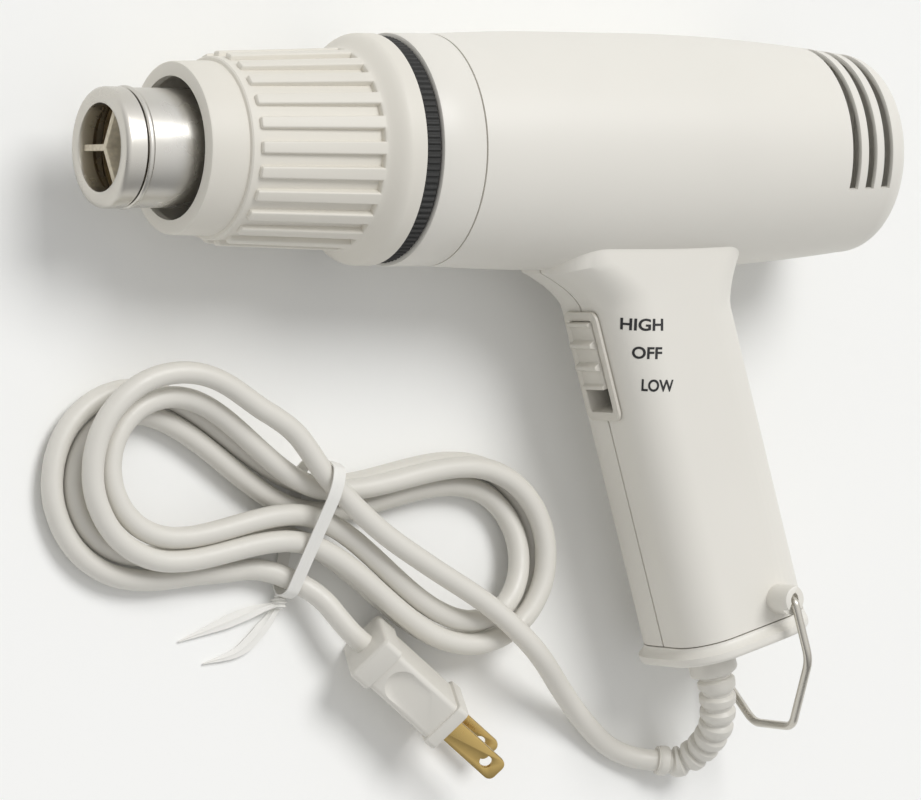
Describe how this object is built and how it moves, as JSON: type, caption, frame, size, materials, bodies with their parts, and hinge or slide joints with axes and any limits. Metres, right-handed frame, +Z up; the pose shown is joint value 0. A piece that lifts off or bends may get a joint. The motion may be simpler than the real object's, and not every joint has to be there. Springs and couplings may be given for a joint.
{
  "type": "heat gun",
  "caption": "Hand-held electric heat gun with a ribbed heat shroud around a steel nozzle, a pistol grip with a slide switch, a hanging bail, and a tied mains cord with plug.",
  "frame": {"origin": "On the surface that the gun lies on, under the middle of the gun's own box, which leaves the free cord out.", "axes": "+X runs along the barrel from the nozzle to the rear, +Y is the gun's up direction laid flat, so the handle points to -Y, and +Z is up from the surface."},
  "size_m": [0.2284, 0.1908, 0.0602],
  "materials": {
    "cream_plastic": "fine moulded texture, off-white",
    "shroud_plastic": "heat-resistant moulding, off-white",
    "rubber_grey": "matt",
    "bright_steel": "drawn and turned",
    "mica": "mica board, pale",
    "resistance_wire": "nickel-chrome wire",
    "nickel": "nickel plated",
    "motor_steel": "zinc plated",
    "switch_plastic": "fine moulded texture, pale",
    "black_plastic": "fine moulded texture",
    "cord_grey": "smooth flexible PVC",
    "brass": "stamped, bright",
    "red_wire": "smooth insulation",
    "blue_wire": "smooth insulation",
    "tie_paper": "plastic-coated wire tie"
  },
  "bodies": {
    "gun": {"base_cap": "cream_plastic", "clamp_screw_1": "bright_steel", "clamp_screw_2": "bright_steel", "cord_clamp": "black_plastic", "cord_hank": "cord_grey", "cord_inner": "cord_grey", "cord_lead": "cord_grey", "cord_tail": "cord_grey", "cord_tie": "tie_paper", "element_core": "mica", "flange_screw_1": "bright_steel", "flange_screw_2": "bright_steel", "flange_screw_3": "bright_steel", "front_collar": "cream_plastic", "heat_shroud": "shroud_plastic", "heating_coil": "resistance_wire", "housing_left": "cream_plastic", "housing_right": "cream_plastic", "housing_screw_1": "bright_steel", "housing_screw_2": "bright_steel", "housing_screw_3": "bright_steel", "housing_screw_4": "bright_steel", "mica_sleeve": "mica", "motor_bracket": "black_plastic", "motor_can": "motor_steel", "motor_end_cap": "black_plastic", "nozzle_flange": "bright_steel", "nozzle_ring": "bright_steel", "nozzle_tube": "bright_steel", "plug_blade_1": "brass", "plug_blade_2": "brass", "plug_body": "cord_grey", "seal_band": "rubber_grey", "strain_relief": "cord_grey", "switch_bezel": "switch_plastic", "switch_body": "black_plastic", "thermal_cutout": "nickel", "wire_live": "red_wire", "wire_motor": "red_wire", "wire_neutral": "blue_wire"},
    "rotor": {"fan": "black_plastic", "motor_shaft": "bright_steel"},
    "slider": {"switch_slider": "switch_plastic"},
    "bail": {"bail": "nickel"}
  },
  "joints": [
    {"name": "fan_spin", "type": "hinge", "parent": "gun", "child": "rotor", "pos_m": [-0.00495, 0.06547, 0.0301], "axis": [1, 0, 0], "continuous": true},
    {"name": "switch_slide", "type": "slide", "parent": "gun", "child": "slider", "axis": [0.279, -0.9596, -0.0364], "range_m": [0, 0.006]},
    {"name": "bail_swing", "type": "hinge", "parent": "gun", "child": "bail", "pos_m": [0.07496, -0.04836, 0.02578], "axis": [0, -0.0379, 0.9993], "range_deg": [-4, 114]}
  ]
}
